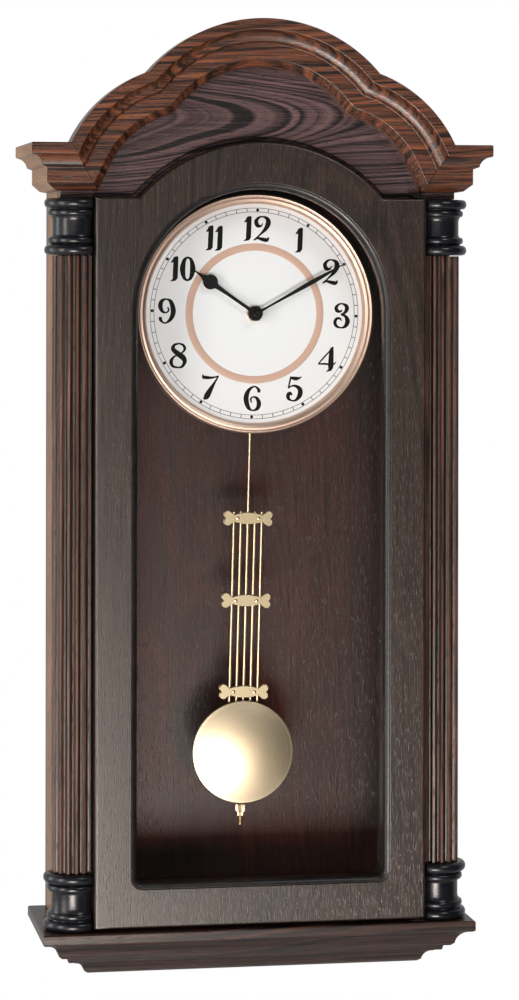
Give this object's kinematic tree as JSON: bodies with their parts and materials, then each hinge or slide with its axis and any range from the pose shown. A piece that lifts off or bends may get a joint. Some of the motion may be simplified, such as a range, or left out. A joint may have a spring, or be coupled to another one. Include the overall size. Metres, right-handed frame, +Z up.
{
  "type": "pendulum wall clock",
  "caption": "Wall clock in a dark oak case with an arched pediment, fluted columns, a glazed door, a round white dial and a gridiron pendulum.",
  "frame": {"origin": "the nail that the clock hangs on, where it meets the wall plane", "axes": "+X to the clock's right seen from the front, +Y into the wall, +Z up; the dial faces -Y"},
  "size_m": [0.336, 0.118, 0.69],
  "materials": {
    "dark_oak": "satin stained oak, open grain",
    "panel_oak": "satin red-brown stained oak",
    "side_oak": "satin brown stained oak",
    "black_lacquer": "gloss black lacquer",
    "glass": "clear float glass",
    "brass": "satin, spun",
    "champagne_metal": "satin rose champagne anodised",
    "steel": "satin",
    "dial_white": "matt white, printed",
    "hand_black": "satin black",
    "black_plastic": "moulded",
    "white_plastic": "moulded",
    "copper": "enamelled copper wire",
    "circuit_green": "solder mask"
  },
  "bodies": {
    "case": {"arch_moulding": "dark_oak", "back_panel": "panel_oak", "base_board_lower": "dark_oak", "base_board_upper": "dark_oak", "battery": "black_plastic", "battery_contact_negative": "steel", "battery_contact_positive": "steel", "capital_left": "black_lacquer", "capital_right": "black_lacquer", "circuit_board": "circuit_green", "column_base_left": "black_lacquer", "column_base_right": "black_lacquer", "column_shaft_left": "dark_oak", "column_shaft_right": "dark_oak", "cornice_front_left": "dark_oak", "cornice_front_right": "dark_oak", "cornice_return_left": "dark_oak", "cornice_return_right": "dark_oak", "dial_bezel": "champagne_metal", "dial_plate": "dial_white", "dial_support": "dark_oak", "door_magnet": "steel", "face_frame": "dark_oak", "hanger_plate": "steel", "hinge_plate_bottom": "hand_black", "hinge_plate_top": "hand_black", "motor_coil": "copper", "motor_stator": "steel", "movement_fixing_nut": "brass", "movement_front_housing": "black_plastic", "movement_rear_housing": "black_plastic", "pediment_panel": "panel_oak", "side_panel_left": "side_oak", "side_panel_right": "side_oak", "top_board": "dark_oak"},
    "door": {"door_frame": "dark_oak", "door_glass": "glass", "glass_retainer": "black_plastic", "strike_plate": "steel"},
    "minute_hand_set": {"minute_arbor": "steel", "minute_hand": "hand_black", "hand_nut": "brass"},
    "hour_hand_set": {"hour_wheel": "white_plastic", "hour_hand": "hand_black"},
    "motion_wheel": {"motion_wheel": "white_plastic"},
    "setting_knob": {"time_setting_knob": "white_plastic"},
    "rotor": {"motor_rotor": "steel"},
    "pendulum": {"grid_plate_1": "brass", "grid_plate_2": "brass", "grid_plate_3": "brass", "grid_rod_1": "brass", "grid_rod_2": "brass", "grid_rod_3": "brass", "grid_rod_4": "brass", "pendulum_centre_rod": "brass", "pendulum_hanger_arm": "brass"},
    "bob": {"bob_back": "brass", "bob_front": "brass"},
    "rating_nut": {"rating_nut": "brass"}
  },
  "joints": [
    {"name": "door_swing", "type": "hinge", "parent": "case", "child": "door", "pos_m": [0.116, -0.102, -0.288], "axis": [0, 0, 1], "range_deg": [0, 110]},
    {"name": "minute_hand_turn", "type": "hinge", "parent": "case", "child": "minute_hand_set", "pos_m": [0, -0.0797, -0.1087], "axis": [0, 1, 0], "continuous": true},
    {"name": "hour_hand_turn", "type": "hinge", "parent": "case", "child": "hour_hand_set", "pos_m": [0, -0.0769, -0.1087], "axis": [0, 1, 0], "continuous": true},
    {"name": "motion_wheel_turn", "type": "hinge", "parent": "case", "child": "motion_wheel", "pos_m": [-0.012, -0.0567, -0.1087], "axis": [0, 1, 0], "continuous": true},
    {"name": "setting_knob_turn", "type": "hinge", "parent": "case", "child": "setting_knob", "pos_m": [-0.018, -0.045, -0.09831], "axis": [0, 1, 0], "continuous": true},
    {"name": "rotor_turn", "type": "hinge", "parent": "case", "child": "rotor", "pos_m": [0.019, -0.054, -0.0997], "axis": [0, 1, 0], "continuous": true},
    {"name": "pendulum_swing", "type": "hinge", "parent": "case", "child": "pendulum", "pos_m": [0, -0.061, -0.1497], "axis": [0, 1, 0], "range_deg": [-5.4, 2.6]},
    {"name": "bob_slide", "type": "slide", "parent": "pendulum", "child": "bob", "axis": [0.0244, 0, 0.9997], "range_m": [-0.004, 0.004]},
    {"name": "rating_nut_turn", "type": "hinge", "parent": "bob", "child": "rating_nut", "pos_m": [-0.00786, -0.061, -0.4715], "axis": [0.0244, 0, 0.9997], "range_deg": [-2057, 2057]}
  ],
  "couplings": [
    {"joint": "hour_hand_turn", "follows": "minute_hand_turn", "ratio": 0.083333},
    {"joint": "motion_wheel_turn", "follows": "minute_hand_turn", "ratio": -0.33333},
    {"joint": "setting_knob_turn", "follows": "minute_hand_turn", "ratio": 1},
    {"joint": "rating_nut_turn", "follows": "bob_slide", "rad_per_m": 8976}
  ]
}
